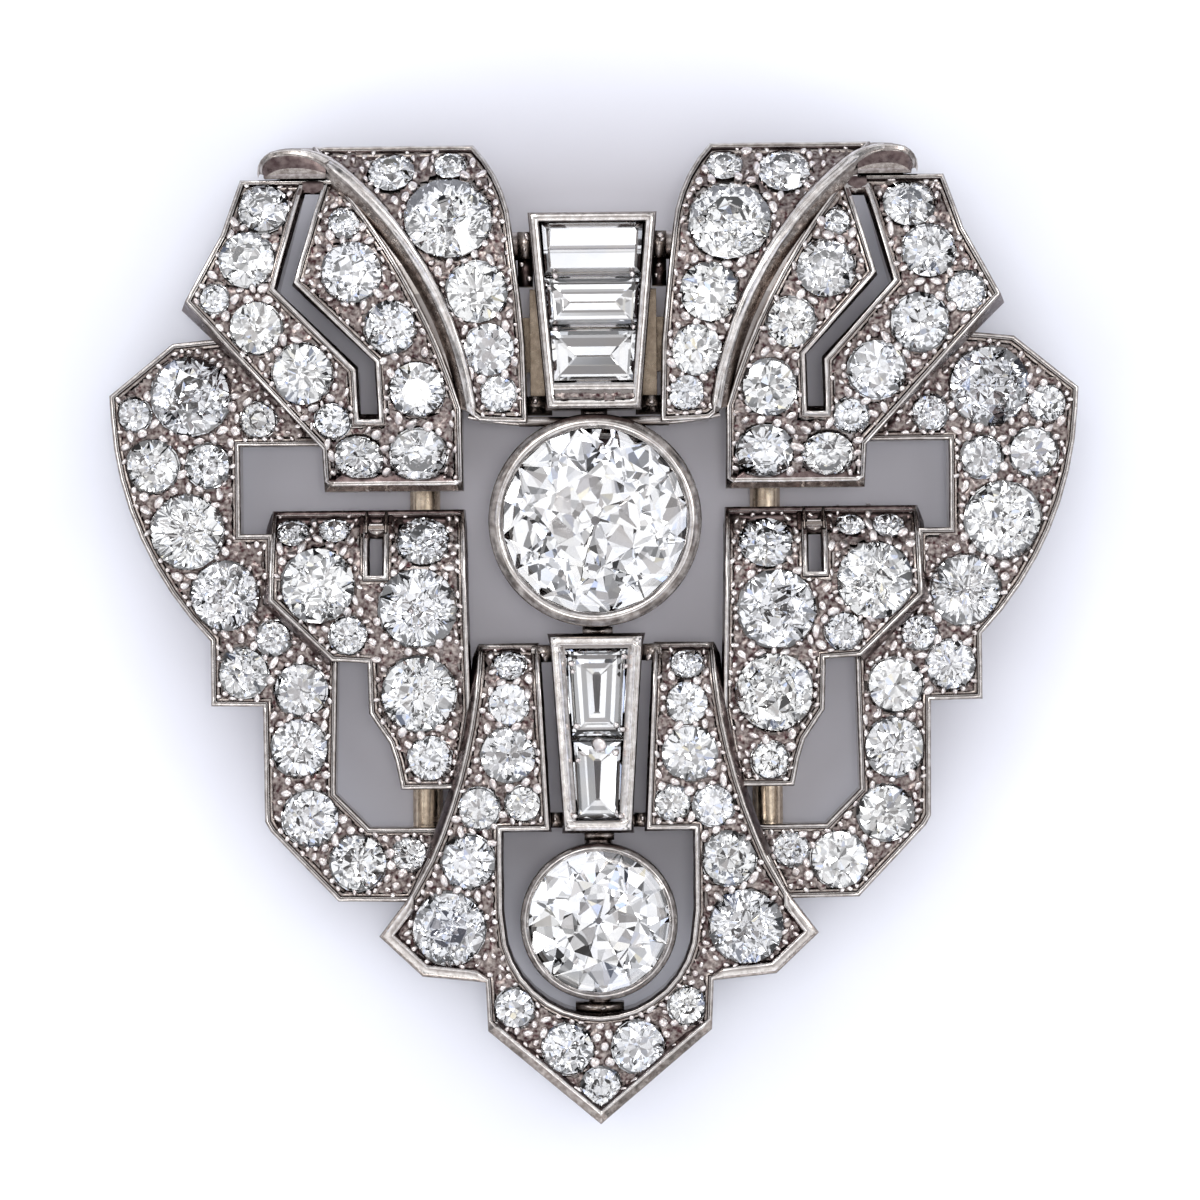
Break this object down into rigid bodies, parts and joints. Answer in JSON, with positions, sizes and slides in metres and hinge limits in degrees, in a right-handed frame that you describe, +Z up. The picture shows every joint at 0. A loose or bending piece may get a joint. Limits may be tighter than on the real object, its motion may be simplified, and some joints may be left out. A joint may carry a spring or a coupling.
{
  "type": "diamond clip brooch",
  "caption": "Shield-shaped platinum clip brooch with arched and stepped panels set with round and baguette diamonds, on a yellow gold double-prong clip.",
  "frame": {"origin": "under the middle of the brooch's outline, on the surface that it lies on", "axes": "+Z up, out of the stones; +Y towards the brooch's top; +X to the right as seen from above"},
  "size_m": [0.0442, 0.0446, 0.0078],
  "materials": {
    "platinum": "polished",
    "yellow_gold": "polished",
    "diamond": "polished"
  },
  "bodies": {
    "root": {"frame": "platinum", "clip": "yellow_gold", "main_stone": "diamond", "drop_stone": "diamond", "baguette_top_1": "diamond", "baguette_top_2": "diamond", "baguette_top_3": "diamond", "baguette_low_1": "diamond", "baguette_low_2": "diamond", "stones_left_scroll": "diamond", "stones_right_scroll": "diamond", "stones_left_fan": "diamond", "stones_right_fan": "diamond", "stones_left_wing": "diamond", "stones_right_wing": "diamond", "stones_left_panel": "diamond", "stones_right_panel": "diamond", "stones_drop": "diamond"}
  },
  "joints": []
}
